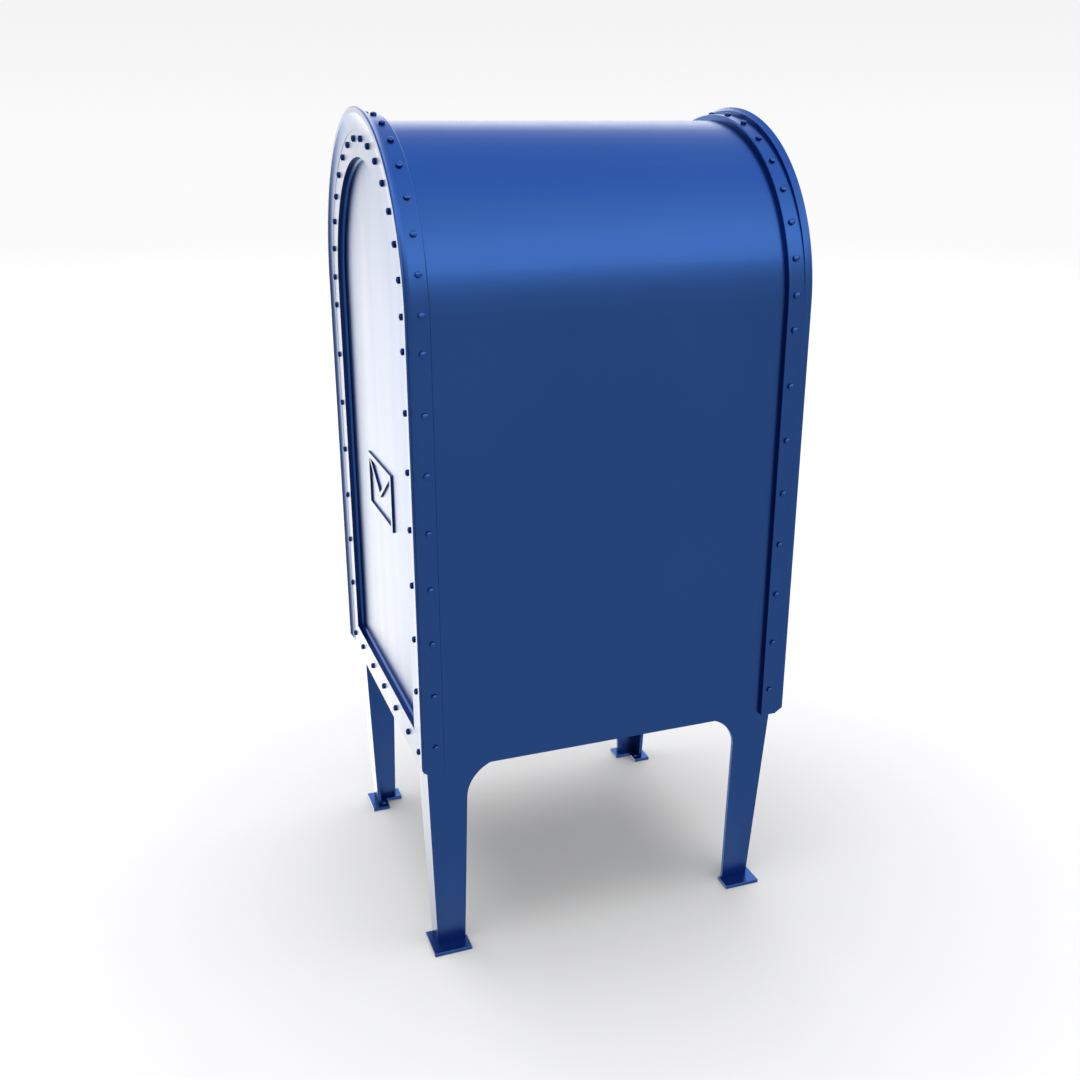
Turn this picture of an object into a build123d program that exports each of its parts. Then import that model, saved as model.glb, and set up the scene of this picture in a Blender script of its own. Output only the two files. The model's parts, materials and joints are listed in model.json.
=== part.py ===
"""Street collection mailbox: an arched steel body on four legs, with a pull-down deposit door
and a side-hinged collection door on its front.

Millimetres.  The origin is on the ground under the middle of the body, +Z is up, the front
(both doors) faces -Y and the two arched side panels face -X and +X.
"""
from build123d import *
from math import acos, atan2, cos, degrees, hypot, radians, sin
import os

# ---------------------------------------------------------------- driving dimensions
# Body shell
body_bottom = 333.0          # lower edge of the body above the ground
spring_line = 989.0          # height at which the sides turn into the arch
wrap_radius = 257.0          # outer half depth of the body and outer radius of its arch
wrap_thick = 2.5
wrap_inner = wrap_radius - wrap_thick
panel_face = 296.5           # outer plane of a side panel's flange
panel_thick = 3.0
panel_back = panel_face - panel_thick
angle_thick = 3.5            # rolled corner angle inside each riveted seam
angle_inner = wrap_inner - angle_thick
angle_back = panel_back - angle_thick

# Pressed recess and raised envelope sign in each side panel
recess_radius = 208.0
recess_bottom = 382.4
recess_depth = 11.5
recess_floor = panel_face - recess_depth
recess_fillet = 4.5
sign_height = 90.0
sign_width = 160.0
sign_middle = 697.0          # height of the sign's centre
sign_raise = 3.0
sign_stroke = 8.0

# Riveted edge strip and raised rim on the wrap's two ends
strip_start = 266.0
strip_end = 291.5
strip_outer = 266.2
rim_outer = 270.7
rim_end = 301.5
rim_flare = 7.8              # width of the rim's slope up from the strip
rim_middle = 995.0           # centre of the rim's arch: it crowns a little above the strip
rim_lip = 262.0              # inner edge of the rim's flat lip
rim_cove = 240.0             # inner edge of the hollow curve that runs down to the panel
rim_edge = 0.3               # thickness left at that inner edge
rim_root = 248.0             # the rim's body reaches in to here under its crown
rim_cut_height = 13.0        # the rim's lower ends are cut back on the slant
rim_cut_depth = 6.0

# Rivets
rivet_head_radius = 4.6
rivet_head_height = 4.5
rivet_collar = 3.0           # upright part of a rivet's head
rivet_shank_radius = 2.5
rivet_hole_radius = 2.55
rivet_tail_radius = 3.8
rivet_tail_height = 2.0
panel_rivet_radius = 233.9   # rivet line on the side panel, from the arch's centre
panel_rivet_first = 457.9
panel_rivet_pitch = 83.08
panel_rivets_up = 7
panel_rivet_corner = 358.2   # height of the bottom row
panel_rivet_bottom = 83.8    # pitch of the bottom row
panel_arc_pitch = 11.57      # degrees between rivets, with a gap in the middle of the arch's top
strip_rivet_x = 278.1
strip_rivet_first = 377.5
strip_rivet_pitch = 82.76
strip_rivets_up = 8
strip_arc_first = 6.9        # degrees from the arch's top to the first rivet towards the back
strip_arc_pitch = 11.32
arc_rivets = 8               # rivets on each side of the arch's top

# Floor, legs and feet
floor_thick = 3.5
floor_top = 375.0
flange_bottom = 336.0
leg_thick = 6.0
leg_top = floor_top - floor_thick
leg_bend = 340.0             # the leg is upright above this and leans inwards below it
foot_thick = 6.0
leg_foot_x = 277.0           # outer corner of a leg where it meets its foot
leg_foot_y = {"front": 242.0, "back": 229.5}
leg_inner_x = {"front": 237.0, "back": 231.6}   # inner edge of the front or back face at the foot
leg_inner_y = {"front": 205.5, "back": 191.0}   # inner edge of the side face at the foot
gusset_x = 177.0             # inner end of the curved gusset on the front and back faces
gusset_end_x = 227.4         # place and height of that gusset's lower end
gusset_low_x = 276.0
gusset_y = 156.0             # inner end of the smaller gusset on the side faces
gusset_end_y = 192.5
gusset_low_y = 297.0
gusset_along = 0.64          # how far along and down a gusset's curve its middle lies
gusset_down = 0.29
foot_corner_x = 288.4
foot_corner_y = 253.5
foot_length_x = 60.8
foot_length_y = 58.8
foot_width = 30.9
anchor_x = 265.0
anchor_y = 208.5
anchor_radius = 4.5

# Deposit opening, door and hopper
deposit_half = 200.0         # half width of the opening
deposit_bottom = 905.0
deposit_top_angle = 34.0     # degrees up the front of the arch
door_gap = 3.0
pin_offset = 5.0             # hinge pin centre outside the body's sheet
deposit_swing = 50.0
sheet = 2.0                  # light inner sheet metal
cheek_clear = 1.5            # side clearance of the hopper inside the door's width
tray_bend_y = -240.0
tray_edge_y = -142.0
tray_edge_z = 862.0
stop_radius = 140.0          # stop pin's distance from the hinge pin
stop_pin_radius = 4.0
bumper_radius = 7.0
bumper_clear = 0.4
cheek_top_angle = 22.0       # degrees up the front of the arch
deposit_handle_angle = 16.0
deposit_handle_size = (190.0, 38.0, 6.0, 14.0)   # span, height, bar radius and bend radius

# Rain hood and throat baffle
hood_half = 215.0
hood_reach = 262.0
hood_underside = 1140.5
hood_thick = 2.5
hood_low_angle = 36.5        # the hood's flange lies between these angles up the arch
hood_high_angle = 46.0
baffle_half = 230.0
baffle_y = -105.0
baffle_bottom = 985.0

# Collection opening and door
collect_half = 195.0
collect_bottom = 442.0
collect_top = 773.0
collect_lap = 17.0           # the door laps over the opening by this much
collect_door_thick = 3.0
gasket_thick = 2.4
door_stand_off = 2.5         # gap between the body's sheet and the collection door
collect_door_half = collect_half + collect_lap
collect_middle = (collect_bottom + collect_top) / 2
collect_height = collect_top - collect_bottom + 2 * collect_lap
collect_inside = wrap_radius + door_stand_off
collect_outside = collect_inside + collect_door_thick
stiffener_half = 190.0
stiffener_width = 24.0
stiffener_depth = 9.5
gasket_lap = 10.0            # the seal reaches this far outside the opening
gasket_set_back = 2.0        # and starts this far from its edge
grip_size = (90.0, 26.0, 4.0, 9.0)   # span, height, bar radius and bend radius
grip_x = 175.0
grip_drop = 85.0             # grip's middle below the door's middle
card_middle = collect_top - 75
card_frame_width = 140.0
card_frame_height = 96.0
card_frame_thick = 4.0
card_frame_rim = 12.0        # border round the frame's window
card_slot_rim = 8.0          # border round the slot behind it

# Hinges
knuckle_radius = 4.5
pin_radius = 2.0
pin_bore_radius = 2.05
leaf_thick = 2.0
leaf_width = 30.0
knuckle_gap = 0.5

# Lock
lock_x = 150.0
lock_barrel_radius = 10.0
lock_flange_radius = 14.0
plug_radius = 6.0
plug_bore_radius = 6.05
cam_length = 62.0
cam_width = 16.0
cam_thick = 3.0
nut_thick = 5.0
cam_stud_radius = plug_radius - 2
strike_width = 30.0
strike_height = 70.0
strike_x = collect_half + 18

sides = {"left": -1, "right": 1}
ends = {"front": -1, "back": 1}

os.makedirs("parts", exist_ok=True)


def save(piece, name):
    """Label a finished piece and write its STEP file."""
    piece.part.label = name
    export_step(piece.part, f"parts/{name}.step")


# ---------------------------------------------------------------- shared shapes
def arch_face(radius, bottom, mode=Mode.ADD):
    """Upright arched face, straight up to the spring line and half round above it."""
    with BuildLine() as outline:
        Polyline((-radius, spring_line), (-radius, bottom), (radius, bottom), (radius, spring_line))
        ThreePointArc((radius, spring_line), (0, spring_line + radius), (-radius, spring_line))
    make_face(outline.edges(), mode=mode)


def front_sector(low, top_angle, inner, outer):
    """Area in front of the shell between a height and an angle up the front of the arch."""
    rise = radians(top_angle)
    with BuildLine() as outline:
        Polyline(
            (-inner, low),
            (-outer, low),
            (-outer * cos(rise), spring_line + outer * sin(rise)),
            (-inner * cos(rise), spring_line + inner * sin(rise)),
            close=True,
        )
    make_face(outline.edges())


def arch_point(radius, angle):
    """Point (Y, Z) on a circle round the arch's centre, at degrees from the back's spring line."""
    return radius * cos(radians(angle)), spring_line + radius * sin(radians(angle))


def seam_path(radius, middle=spring_line):
    """Line up the back, over the arch and down the front; middle is the height of its centre."""
    with BuildLine(Plane.YZ) as path:
        Line((radius, body_bottom), (radius, middle))
        ThreePointArc((radius, middle), (0, middle + radius), (-radius, middle))
        Line((-radius, middle), (-radius, body_bottom))
    return path.line


# ---------------------------------------------------------------- rivets and their places
def rivet(grip):
    """Rivet along Z with its head's underside at Z = 0 and its tail below the gripped sheets."""
    rise = rivet_head_height - rivet_collar
    with BuildPart() as piece:
        with BuildSketch(Plane.XZ):
            with BuildLine():
                Polyline(
                    (0, rivet_head_height),
                    (0, -grip - rivet_tail_height),
                    (rivet_tail_radius, -grip - rivet_tail_height),
                    (rivet_tail_radius, -grip),
                    (rivet_shank_radius, -grip),
                    (rivet_shank_radius, 0),
                    (rivet_head_radius, 0),
                    (rivet_head_radius, rivet_collar),
                )
                RadiusArc(
                    (rivet_head_radius, rivet_collar),
                    (0, rivet_head_height),
                    -(rivet_head_radius**2 + rise**2) / (2 * rise),
                )
            make_face()
        revolve(axis=Axis.Z)
    return piece.part


def panel_plane(side, y, z):
    """Plane on a side panel's flange, facing outwards."""
    return Plane(origin=(side * panel_face, y, z), x_dir=(0, 1, 0), z_dir=(side, 0, 0))


def panel_rivet_planes(side):
    """Rivets up both edges of a side panel and round its arch."""
    heights = [panel_rivet_first + k * panel_rivet_pitch for k in range(panel_rivets_up)]
    planes = [panel_plane(side, edge * panel_rivet_radius, z) for edge in (-1, 1) for z in heights]
    for k in range(arc_rivets):
        lean = radians((k + 0.5) * panel_arc_pitch)
        for edge in (-1, 1):
            y = edge * panel_rivet_radius * sin(lean)
            planes.append(panel_plane(side, y, spring_line + panel_rivet_radius * cos(lean)))
    return planes


def floor_rivet_planes(side):
    """Bottom-row rivets that hold the floor's flange alone."""
    step = panel_rivet_bottom
    return [panel_plane(side, y, panel_rivet_corner) for y in (-step, 0, step)]


def leg_rivet_planes(side, end):
    """Bottom-row rivets that also pass through one leg."""
    places = (2 * panel_rivet_bottom, panel_rivet_radius)
    return [panel_plane(side, end * y, panel_rivet_corner) for y in places]


def strip_plane(side, angle):
    """Plane on the edge strip over the arch, facing outwards, at degrees from the top."""
    lean = radians(angle)
    origin = (side * strip_rivet_x, strip_outer * sin(lean), spring_line + strip_outer * cos(lean))
    return Plane(origin=origin, x_dir=(1, 0, 0), z_dir=(0, sin(lean), cos(lean)))


def strip_rivet_planes(side):
    """Rivets up the front and back of an edge strip and over its arch."""
    planes = []
    for end in (-1, 1):
        for k in range(strip_rivets_up):
            height = strip_rivet_first + k * strip_rivet_pitch
            origin = (side * strip_rivet_x, end * strip_outer, height)
            planes.append(Plane(origin=origin, x_dir=(1, 0, 0), z_dir=(0, end, 0)))
    for k in range(-arc_rivets, arc_rivets):
        planes.append(strip_plane(side, strip_arc_first + k * strip_arc_pitch))
    return planes


def rivet_holes(planes, depth):
    """Cut rivet holes through everything from the planes down to the given depth."""
    with Locations(*planes):
        Cylinder(rivet_hole_radius, 2 * depth, mode=Mode.SUBTRACT)


panel_grip = panel_thick + angle_thick
leg_grip = panel_grip + leg_thick
strip_grip = strip_outer - angle_inner + 0.05   # the tails stand just clear of the curved angle


# ---------------------------------------------------------------- body shell
def make_wrap():
    """One sheet bent up the back, over the top and down the front, with two openings."""
    with BuildPart() as wrap:
        with BuildSketch(Plane.YZ):
            arch_face(wrap_radius, body_bottom)
            arch_face(wrap_inner, body_bottom, Mode.SUBTRACT)
        extrude(amount=panel_back, both=True)
        with BuildSketch(Plane.YZ):
            front_sector(deposit_bottom, deposit_top_angle, wrap_inner - 50, wrap_radius + 50)
        extrude(amount=deposit_half, both=True, mode=Mode.SUBTRACT)
        with BuildSketch(Plane.XZ.offset(wrap_inner - 5)):
            with Locations((0, collect_middle)):
                RectangleRounded(2 * collect_half, collect_top - collect_bottom, 8)
        extrude(amount=20, mode=Mode.SUBTRACT)
        for side in sides.values():
            rivet_holes(strip_rivet_planes(side), strip_grip + 2)
    save(wrap, "body_wrap")


def envelope_sign(plane):
    """Raised envelope outline with its flap."""
    half_width = sign_width / 2
    half_height = sign_height / 2
    inner = sign_stroke
    with BuildSketch(plane) as sign:
        Rectangle(sign_width, sign_height)
        Rectangle(sign_width - 2 * inner, sign_height - 2 * inner, mode=Mode.SUBTRACT)
        with BuildLine():
            Polyline(
                (-half_width + inner, half_height - inner),
                (0, -half_height / 4),
                (half_width - inner, half_height - inner),
                (half_width - 2 * inner, half_height - inner),
                (0, -half_height / 4 + inner),
                (-half_width + 2 * inner, half_height - inner),
                close=True,
            )
        make_face()
    return sign.sketch


def make_side_panel(side_name, side):
    """Pressed side panel: flat riveted flange round a deep arched recess."""
    outward = Plane(origin=(side * panel_face, 0, 0), x_dir=(0, side, 0), z_dir=(side, 0, 0))
    with BuildPart() as panel:
        with BuildSketch(outward.offset(-panel_thick)):
            arch_face(wrap_radius, body_bottom)
        extrude(amount=panel_thick)
        with BuildSketch(outward.offset(-recess_depth - panel_thick)):
            arch_face(recess_radius + panel_thick, recess_bottom - panel_thick)
        extrude(amount=recess_depth)
        with BuildSketch(outward.offset(-recess_depth)):
            arch_face(recess_radius, recess_bottom)
        extrude(amount=recess_depth, mode=Mode.SUBTRACT)
        near_floor = sorted((side * (recess_floor - 0.01), side * (recess_floor + 0.01)))
        fillet(panel.edges().filter_by_position(Axis.X, *near_floor), recess_fillet)
        sign_plane = Plane(
            origin=(side * recess_floor, 0, sign_middle),
            x_dir=(0, side, 0),
            z_dir=(side, 0, 0),
        )
        extrude(to_extrude=envelope_sign(sign_plane), amount=sign_raise)
        rivet_holes(panel_rivet_planes(side), panel_grip)
        rivet_holes(floor_rivet_planes(side), panel_grip)
        for end in ends.values():
            rivet_holes(leg_rivet_planes(side, end), panel_grip)
    save(panel, f"side_panel_{side_name}")


def make_edge_strip(side_name, side):
    """Flat bar rolled over the wrap's end, with a rounded inner corner."""
    with BuildPart() as strip:
        path = seam_path(wrap_radius)
        with BuildSketch(Plane.XY.offset(body_bottom)):
            with BuildLine():
                Polyline(
                    (side * strip_start, wrap_radius),
                    (side * strip_start, strip_outer),
                    (side * strip_end, strip_outer),
                    (side * strip_end, wrap_radius),
                    close=True,
                )
            section = make_face()
            inner_corner = section.vertices().group_by(Axis.Y)[-1].sort_by(Axis.X)[0 if side > 0 else -1]
            fillet(inner_corner, 2.5)
        sweep(path=path)
        rivet_holes(strip_rivet_planes(side), strip_grip)
    save(strip, f"edge_strip_{side_name}")


def rim_section(side):
    """Cross-section of the rim: a flare up from the strip, a flat lip and a hollow cove."""
    flare_start = (side * strip_end, strip_outer)
    flare_middle = (
        side * (strip_end + 0.54 * rim_flare),
        strip_outer + 0.38 * (rim_outer - strip_outer),
    )
    flare_end = (side * (strip_end + rim_flare), rim_outer)
    cove_height = rim_end - panel_face - rim_edge
    with BuildSketch(Plane.XY.offset(body_bottom)) as section:
        with BuildLine():
            Polyline(flare_end, (side * rim_end, rim_outer), (side * rim_end, rim_lip))
            ThreePointArc(
                (side * rim_end, rim_lip),
                (side * (rim_end - 0.75 * cove_height), (rim_lip + rim_cove) / 2),
                (side * (rim_end - cove_height), rim_cove),
            )
            Polyline(
                (side * (rim_end - cove_height), rim_cove),
                (side * panel_face, rim_cove),
                (side * panel_face, rim_root),
                (side * strip_end, rim_root),
                flare_start,
            )
            ThreePointArc(flare_start, flare_middle, flare_end)
        make_face()
        corners = section.vertices().filter_by_position(Axis.Y, rim_outer - 0.1, rim_outer + 0.1)
        fillet(corners.sort_by(Axis.X)[-1 if side > 0 else 0], 2.0)
    return section.sketch


def make_rim(side_name, side):
    """Raised rim that caps the seam, with its lower ends cut back on the slant."""
    with BuildPart() as rim:
        sweep(sections=rim_section(side), path=seam_path(wrap_radius, rim_middle))
        with BuildSketch(Plane.YZ):
            arch_face(wrap_radius, body_bottom)
        extrude(amount=panel_face, both=True, mode=Mode.SUBTRACT)
        with BuildSketch(Plane.XZ):
            with BuildLine():
                Polyline(
                    (side * strip_end, body_bottom),
                    (side * rim_end, body_bottom + rim_cut_height),
                    (side * rim_end, body_bottom),
                    close=True,
                )
            make_face()
        extrude(amount=rim_outer + 1, both=True, mode=Mode.SUBTRACT)
        for end in ends.values():
            with BuildSketch(Plane.YZ):
                with BuildLine():
                    Polyline(
                        (end * (rim_outer - rim_cut_depth), body_bottom),
                        (end * rim_outer, body_bottom + rim_cut_depth),
                        (end * rim_outer, body_bottom),
                        close=True,
                    )
                make_face()
            extrude(amount=rim_end + 1, both=True, mode=Mode.SUBTRACT)
    save(rim, f"rim_trim_{side_name}")


def make_corner_angle(side_name, side):
    """Rolled steel angle inside the seam, backing both rows of rivets."""
    with BuildPart() as angle:
        path = seam_path(wrap_inner)
        with BuildSketch(Plane.XY.offset(body_bottom)):
            with BuildLine():
                Polyline(
                    (side * (strip_start - 2), wrap_inner),
                    (side * panel_back, wrap_inner),
                    (side * panel_back, panel_rivet_radius - 12),
                    (side * angle_back, panel_rivet_radius - 12),
                    (side * angle_back, angle_inner),
                    (side * (strip_start - 2), angle_inner),
                    close=True,
                )
            make_face()
        sweep(path=path)
        rivet_holes(strip_rivet_planes(side), strip_grip + 2)
        rivet_holes(panel_rivet_planes(side), panel_grip + 2)
        for end in ends.values():
            rivet_holes(leg_rivet_planes(side, end)[1:], panel_grip + 2)
    save(angle, f"corner_angle_{side_name}")


def make_seam_rivets(side_name, side):
    """The two groups of rivets at one end of the body."""
    panel_rivet = rivet(panel_grip)
    leg_rivet = rivet(leg_grip)
    strip_rivet = rivet(strip_grip)
    planes = panel_rivet_planes(side) + floor_rivet_planes(side)
    with BuildPart() as panel_rivets:
        for plane in planes:
            add(plane.location * panel_rivet)
        for end in ends.values():
            for plane in leg_rivet_planes(side, end):
                add(plane.location * leg_rivet)
    save(panel_rivets, f"panel_rivets_{side_name}")
    with BuildPart() as strip_rivets:
        for plane in strip_rivet_planes(side):
            add(plane.location * strip_rivet)
    save(strip_rivets, f"strip_rivets_{side_name}")


# ---------------------------------------------------------------- floor, legs and feet
def make_floor():
    """Folded floor pan with four flanges turned down between the legs."""
    rivet_row = panel_rivet_radius - 16
    back_flange = strip_start - 6
    with BuildPart() as floor:
        with BuildSketch(Plane.XY.offset(leg_top)):
            Rectangle(2 * angle_back - 1, 2 * angle_inner - 5)
            Rectangle(2 * back_flange, 2 * wrap_inner)
            Rectangle(2 * panel_back, 2 * rivet_row)
        extrude(amount=floor_thick)
        with BuildSketch(Plane.XY.offset(flange_bottom)):
            Rectangle(2 * back_flange, 2 * wrap_inner)
            Rectangle(2 * back_flange, 2 * angle_inner, mode=Mode.SUBTRACT)
            for side in sides.values():
                with Locations((side * (panel_back - floor_thick / 2), 0)):
                    Rectangle(floor_thick, 2 * rivet_row)
        extrude(amount=leg_top - flange_bottom)
        for side in sides.values():
            rivet_holes(floor_rivet_planes(side), panel_grip + 2)
            for end in ends.values():
                rivet_holes(leg_rivet_planes(side, end)[:1], panel_grip + 2)
    save(floor, "floor_pan")


def leg_flange(plane, outer_foot, outer_top, inner_foot, inner_arc, gusset, arc_start):
    """Tapering face of a leg with its curved gusset, cut square through the whole leg."""
    arc_middle = (
        gusset + gusset_along * (inner_arc - gusset),
        body_bottom - gusset_down * (body_bottom - arc_start),
    )
    with BuildSketch(plane) as face:
        with BuildLine():
            Polyline(
                (inner_arc, arc_start),
                (inner_foot, foot_thick),
                (outer_foot, foot_thick),
                (outer_top, leg_bend),
                (outer_top, leg_top),
                (gusset, leg_top),
                (gusset, body_bottom),
            )
            ThreePointArc((gusset, body_bottom), arc_middle, (inner_arc, arc_start))
        make_face()
    return face.sketch


def leg_slab(plane, outer_foot, outer_top):
    """Edge-on view of one leaning face of a leg."""
    with BuildSketch(plane) as edge:
        with BuildLine():
            Polyline(
                (outer_foot, foot_thick),
                (outer_top, leg_bend),
                (outer_top, leg_top),
                (outer_top - leg_thick, leg_top),
                (outer_top - leg_thick, leg_bend),
                (outer_foot - leg_thick, foot_thick),
                close=True,
            )
        make_face()
    return edge.sketch


def make_leg_shape(end_name):
    """Angle-section leg, drawn at the back right corner; the front legs lean in a little less."""
    foot_y = leg_foot_y[end_name]
    foot_inner_x = leg_inner_x[end_name]
    foot_inner_y = leg_inner_y[end_name]
    front_view = leg_flange(
        Plane.XZ, leg_foot_x, angle_back, foot_inner_x, gusset_end_x, gusset_x, gusset_low_x
    )
    side_view = leg_flange(
        Plane.YZ, foot_y, angle_inner, foot_inner_y, gusset_end_y, gusset_y, gusset_low_y
    )
    back_edge = leg_slab(Plane.YZ, foot_y, angle_inner)
    side_edge = leg_slab(Plane.XZ, leg_foot_x, angle_back)
    reach = 2 * panel_face
    with BuildPart() as back_face:
        extrude(to_extrude=front_view, amount=-reach)
        extrude(to_extrude=back_edge, amount=reach, mode=Mode.INTERSECT)
    with BuildPart() as side_face:
        extrude(to_extrude=side_view, amount=reach)
        extrude(to_extrude=side_edge, amount=-reach, mode=Mode.INTERSECT)
    with BuildPart() as leg:
        add(back_face.part)
        add(side_face.part)
        rivet_holes(leg_rivet_planes(sides["right"], ends["back"]), leg_grip + 2)
    return leg.part


def make_foot_shape():
    """L-shaped foot plate for the back right corner, with one anchor hole."""
    with BuildPart() as foot:
        with BuildSketch():
            with BuildLine():
                Polyline(
                    (foot_corner_x, foot_corner_y),
                    (foot_corner_x, foot_corner_y - foot_length_y),
                    (foot_corner_x - foot_width, foot_corner_y - foot_length_y),
                    (foot_corner_x - foot_width, foot_corner_y - foot_width),
                    (foot_corner_x - foot_length_x, foot_corner_y - foot_width),
                    (foot_corner_x - foot_length_x, foot_corner_y),
                    close=True,
                )
            make_face()
            with Locations((anchor_x, anchor_y)):
                Circle(anchor_radius, mode=Mode.SUBTRACT)
        extrude(amount=foot_thick)
        chamfer(foot.faces().sort_by(Axis.Z)[-1].outer_wire().edges(), 0.5)
    return foot.part


def make_legs():
    """Four mirrored legs and feet."""
    foot_shape = make_foot_shape()
    for end_name, end in ends.items():
        leg_shape = make_leg_shape(end_name)
        for side_name, side in sides.items():
            for shape, kind in ((leg_shape, "leg"), (foot_shape, "foot")):
                placed = shape if side > 0 else shape.mirror(Plane.YZ)
                placed = placed if end > 0 else placed.mirror(Plane.XZ)
                with BuildPart() as piece:
                    add(placed)
                save(piece, f"{kind}_{end_name}_{side_name}")


# ---------------------------------------------------------------- hinges and handles
def hinge_leaf(plane, length, knuckles, first, seat):
    """Half of a butt hinge.

    The plane's X runs along the pin, its Y across the leaf and its Z away from the sheet; seat is
    the sheet's height over the pin's centre.  first picks the even or the odd knuckles.
    """
    pitch = length / knuckles
    root = knuckle_radius + 0.7
    with BuildPart(plane) as leaf:
        with Locations((0, (root + leaf_width) / 2, seat + leaf_thick / 2)):
            Box(length, leaf_width - root, leaf_thick)
        for k in range(first, knuckles, 2):
            middle = (k + 0.5) * pitch - length / 2
            with Locations((middle, 0, 0)):
                Cylinder(knuckle_radius, pitch - knuckle_gap, rotation=(0, 90, 0))
            with Locations((middle, (root + 1) / 2, seat + leaf_thick / 2)):
                Box(pitch - knuckle_gap, root + 1, leaf_thick)
        Cylinder(pin_bore_radius, 2 * length, rotation=(0, 90, 0), mode=Mode.SUBTRACT)
    return leaf


def hinge_pin(plane, length):
    """Plain hinge pin with a small button head at each end."""
    with BuildPart(plane) as pin:
        Cylinder(pin_radius, length + 2, rotation=(0, 90, 0))
        for edge in (-1, 1):
            with Locations((edge * (length / 2 + 1.5), 0, 0)):
                Cylinder(knuckle_radius - 1, 2, rotation=(0, 90, 0))
    return pin


def bar_handle(plane, span, height, bar_radius, bend):
    """Round bar handle standing on two small feet; the plane lies on the door, Z outwards."""
    half = span / 2
    with BuildPart() as handle:
        with BuildLine(Plane(origin=plane.origin, x_dir=plane.x_dir, z_dir=-plane.y_dir)) as path:
            bar = Polyline((-half, 0), (-half, height), (half, height), (half, 0))
            fillet(bar.vertices().sort_by(Axis(plane.origin, plane.z_dir))[-2:], bend)
        with BuildSketch(Plane(origin=plane.from_local_coords((-half, 0, 0)), z_dir=plane.z_dir)):
            Circle(bar_radius)
        sweep(path=path.line)
        with BuildSketch(plane):
            with Locations((-half, 0), (half, 0)):
                Circle(2.2 * bar_radius)
        extrude(amount=bar_radius / 2)
    return handle


# ---------------------------------------------------------------- deposit door and hopper
pin_y = -wrap_radius - pin_offset
deposit_hinge_plane = Plane(origin=(0, pin_y, deposit_bottom), x_dir=(1, 0, 0), z_dir=(0, -1, 0))
deposit_hinge_length = 360.0
deposit_knuckles = 9


def stop_pin_place():
    """Rest position (Y, Z) of the stop pins, which meet the wrap's inside at full swing."""
    centre_y = -pin_y
    centre_z = spring_line - deposit_bottom
    to_centre = hypot(centre_y, centre_z)
    reach = wrap_inner - bumper_radius - bumper_clear
    corner = acos((to_centre**2 + stop_radius**2 - reach**2) / (2 * to_centre * stop_radius))
    angle = atan2(centre_z, centre_y) + corner - radians(deposit_swing)
    return pin_y + stop_radius * cos(angle), deposit_bottom + stop_radius * sin(angle)


def make_deposit_door():
    """Curved door panel that follows the front of the arch, with a turned-in top edge."""
    gap_angle = degrees(door_gap / wrap_radius)
    top_angle = deposit_top_angle - gap_angle
    half = deposit_half - door_gap
    with BuildPart() as door:
        with BuildSketch(Plane.YZ):
            arch_face(wrap_radius, body_bottom)
            arch_face(wrap_inner, body_bottom, Mode.SUBTRACT)
        extrude(amount=half, both=True)
        with BuildSketch(Plane.YZ):
            front_sector(deposit_bottom + door_gap, top_angle, wrap_inner - 50, wrap_radius + 50)
        extrude(amount=half, both=True, mode=Mode.INTERSECT)
        with BuildSketch(Plane.YZ):
            inner = wrap_inner - 12
            lower_angle = top_angle - degrees(sheet / wrap_inner)
            with BuildLine():
                Polyline(
                    arch_point(wrap_inner + 1, 180 - top_angle),
                    arch_point(inner, 180 - top_angle),
                    arch_point(inner, 180 - lower_angle),
                    arch_point(wrap_inner + 1, 180 - lower_angle),
                    close=True,
                )
            make_face()
        extrude(amount=half - cheek_clear - sheet - 1, both=True)
    save(door, "deposit_door")


def make_deposit_tray():
    """Bent tray behind the door that catches the mail and tips it inwards."""
    half = deposit_half - door_gap - cheek_clear - sheet
    lip = deposit_bottom + door_gap + 1.5
    with BuildPart() as tray:
        with BuildSketch(Plane.YZ):
            with BuildLine():
                Polyline(
                    (-wrap_inner, lip + 24),
                    (-wrap_inner, lip),
                    (tray_bend_y, lip),
                    (tray_edge_y, tray_edge_z),
                )
                offset(amount=sheet, side=Side.LEFT)
            make_face()
        extrude(amount=half, both=True)
    save(tray, "deposit_tray")


def make_cheek(side_name, side):
    """Side plate of the hopper, joining the door, the tray and the stop pin."""
    stop_y, stop_z = stop_pin_place()
    inner = side * (deposit_half - door_gap - cheek_clear - sheet)
    top_angle = 180 - cheek_top_angle
    door_face = wrap_inner - 0.2
    lip = deposit_bottom + door_gap + 1.5
    with BuildPart() as cheek:
        with BuildSketch(Plane(origin=(inner, 0, 0), x_dir=(0, 1, 0), z_dir=(1, 0, 0))):
            with BuildLine():
                Polyline((-door_face, lip), (-door_face, spring_line))
                ThreePointArc(
                    (-door_face, spring_line),
                    arch_point(door_face, (180 + top_angle) / 2),
                    arch_point(door_face, top_angle),
                )
                Polyline(
                    arch_point(door_face, top_angle),
                    (stop_y - 8, stop_z + 24),
                    (stop_y + 14, stop_z + 10),
                    (tray_edge_y + 6, tray_edge_z - 5),
                    (tray_bend_y, lip - sheet - 2),
                    (-door_face, lip),
                )
            make_face()
            with Locations((stop_y, stop_z)):
                Circle(stop_pin_radius + 0.05, mode=Mode.SUBTRACT)
        extrude(amount=side * sheet)
    save(cheek, f"hopper_cheek_{side_name}")


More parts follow.
